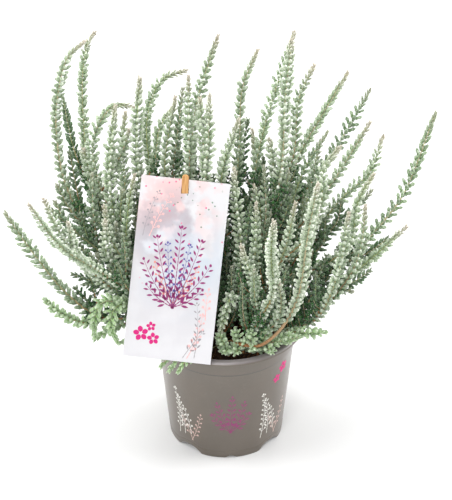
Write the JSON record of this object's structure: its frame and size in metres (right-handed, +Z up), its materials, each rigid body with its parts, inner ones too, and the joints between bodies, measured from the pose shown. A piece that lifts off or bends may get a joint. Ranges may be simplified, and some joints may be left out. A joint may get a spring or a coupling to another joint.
{
  "type": "potted heather plant",
  "caption": "Silvery velvet-leaved heather in a round plastic nursery pot, with a hang card on a wooden stake.",
  "frame": {"origin": "on the pot's axis, at the surface that the pot stands on, under the middle of the plant's box", "axes": "+Z up along the pot's axis, -Y towards the front, where the hang card is, +X to the right seen from the front"},
  "size_m": [0.3191, 0.1915, 0.333],
  "materials": {
    "pot_plastic": "satin taupe grey moulded plastic",
    "peat": "rough dark brown fibrous peat",
    "heather": "velvety silvery grey-green leaf tufts on orange-brown woody stems",
    "card_stock": "smooth white printed card",
    "stake_wood": "plain sanded light wood"
  },
  "bodies": {
    "root": {"pot": "pot_plastic", "peat_root_ball": "peat", "spray_left_tall": "heather", "spray_left_back": "heather", "spray_left_arching": "heather", "spray_left_pale": "heather", "spray_card_left": "heather", "spray_card_left_back": "heather", "spray_behind_card": "heather", "spray_top_left": "heather", "spray_card_top": "heather", "spray_middle_back": "heather", "spray_middle_pale": "heather", "spray_card_right": "heather", "spray_right_back_tall": "heather", "spray_right_tall": "heather", "spray_right_leaning": "heather", "spray_right_inner": "heather", "spray_right_side": "heather", "spray_right_long": "heather", "spray_right_pale": "heather", "spray_right_low": "heather", "spray_right_front": "heather", "spray_front_bent": "heather", "spray_front_right": "heather", "spray_front_middle": "heather", "spray_front_leaning": "heather", "spray_front_drooping": "heather", "spray_low_front": "heather", "spray_low_front_right": "heather", "spray_card_edge": "heather", "spray_left_middle": "heather", "spray_left_front": "heather", "spray_left_foremost": "heather", "spray_left_long": "heather", "spray_rear_left": "heather", "spray_rear_middle_left": "heather", "spray_rear_middle_right": "heather", "spray_rear_right": "heather", "hang_card": "card_stock", "stake": "stake_wood"}
  },
  "joints": []
}
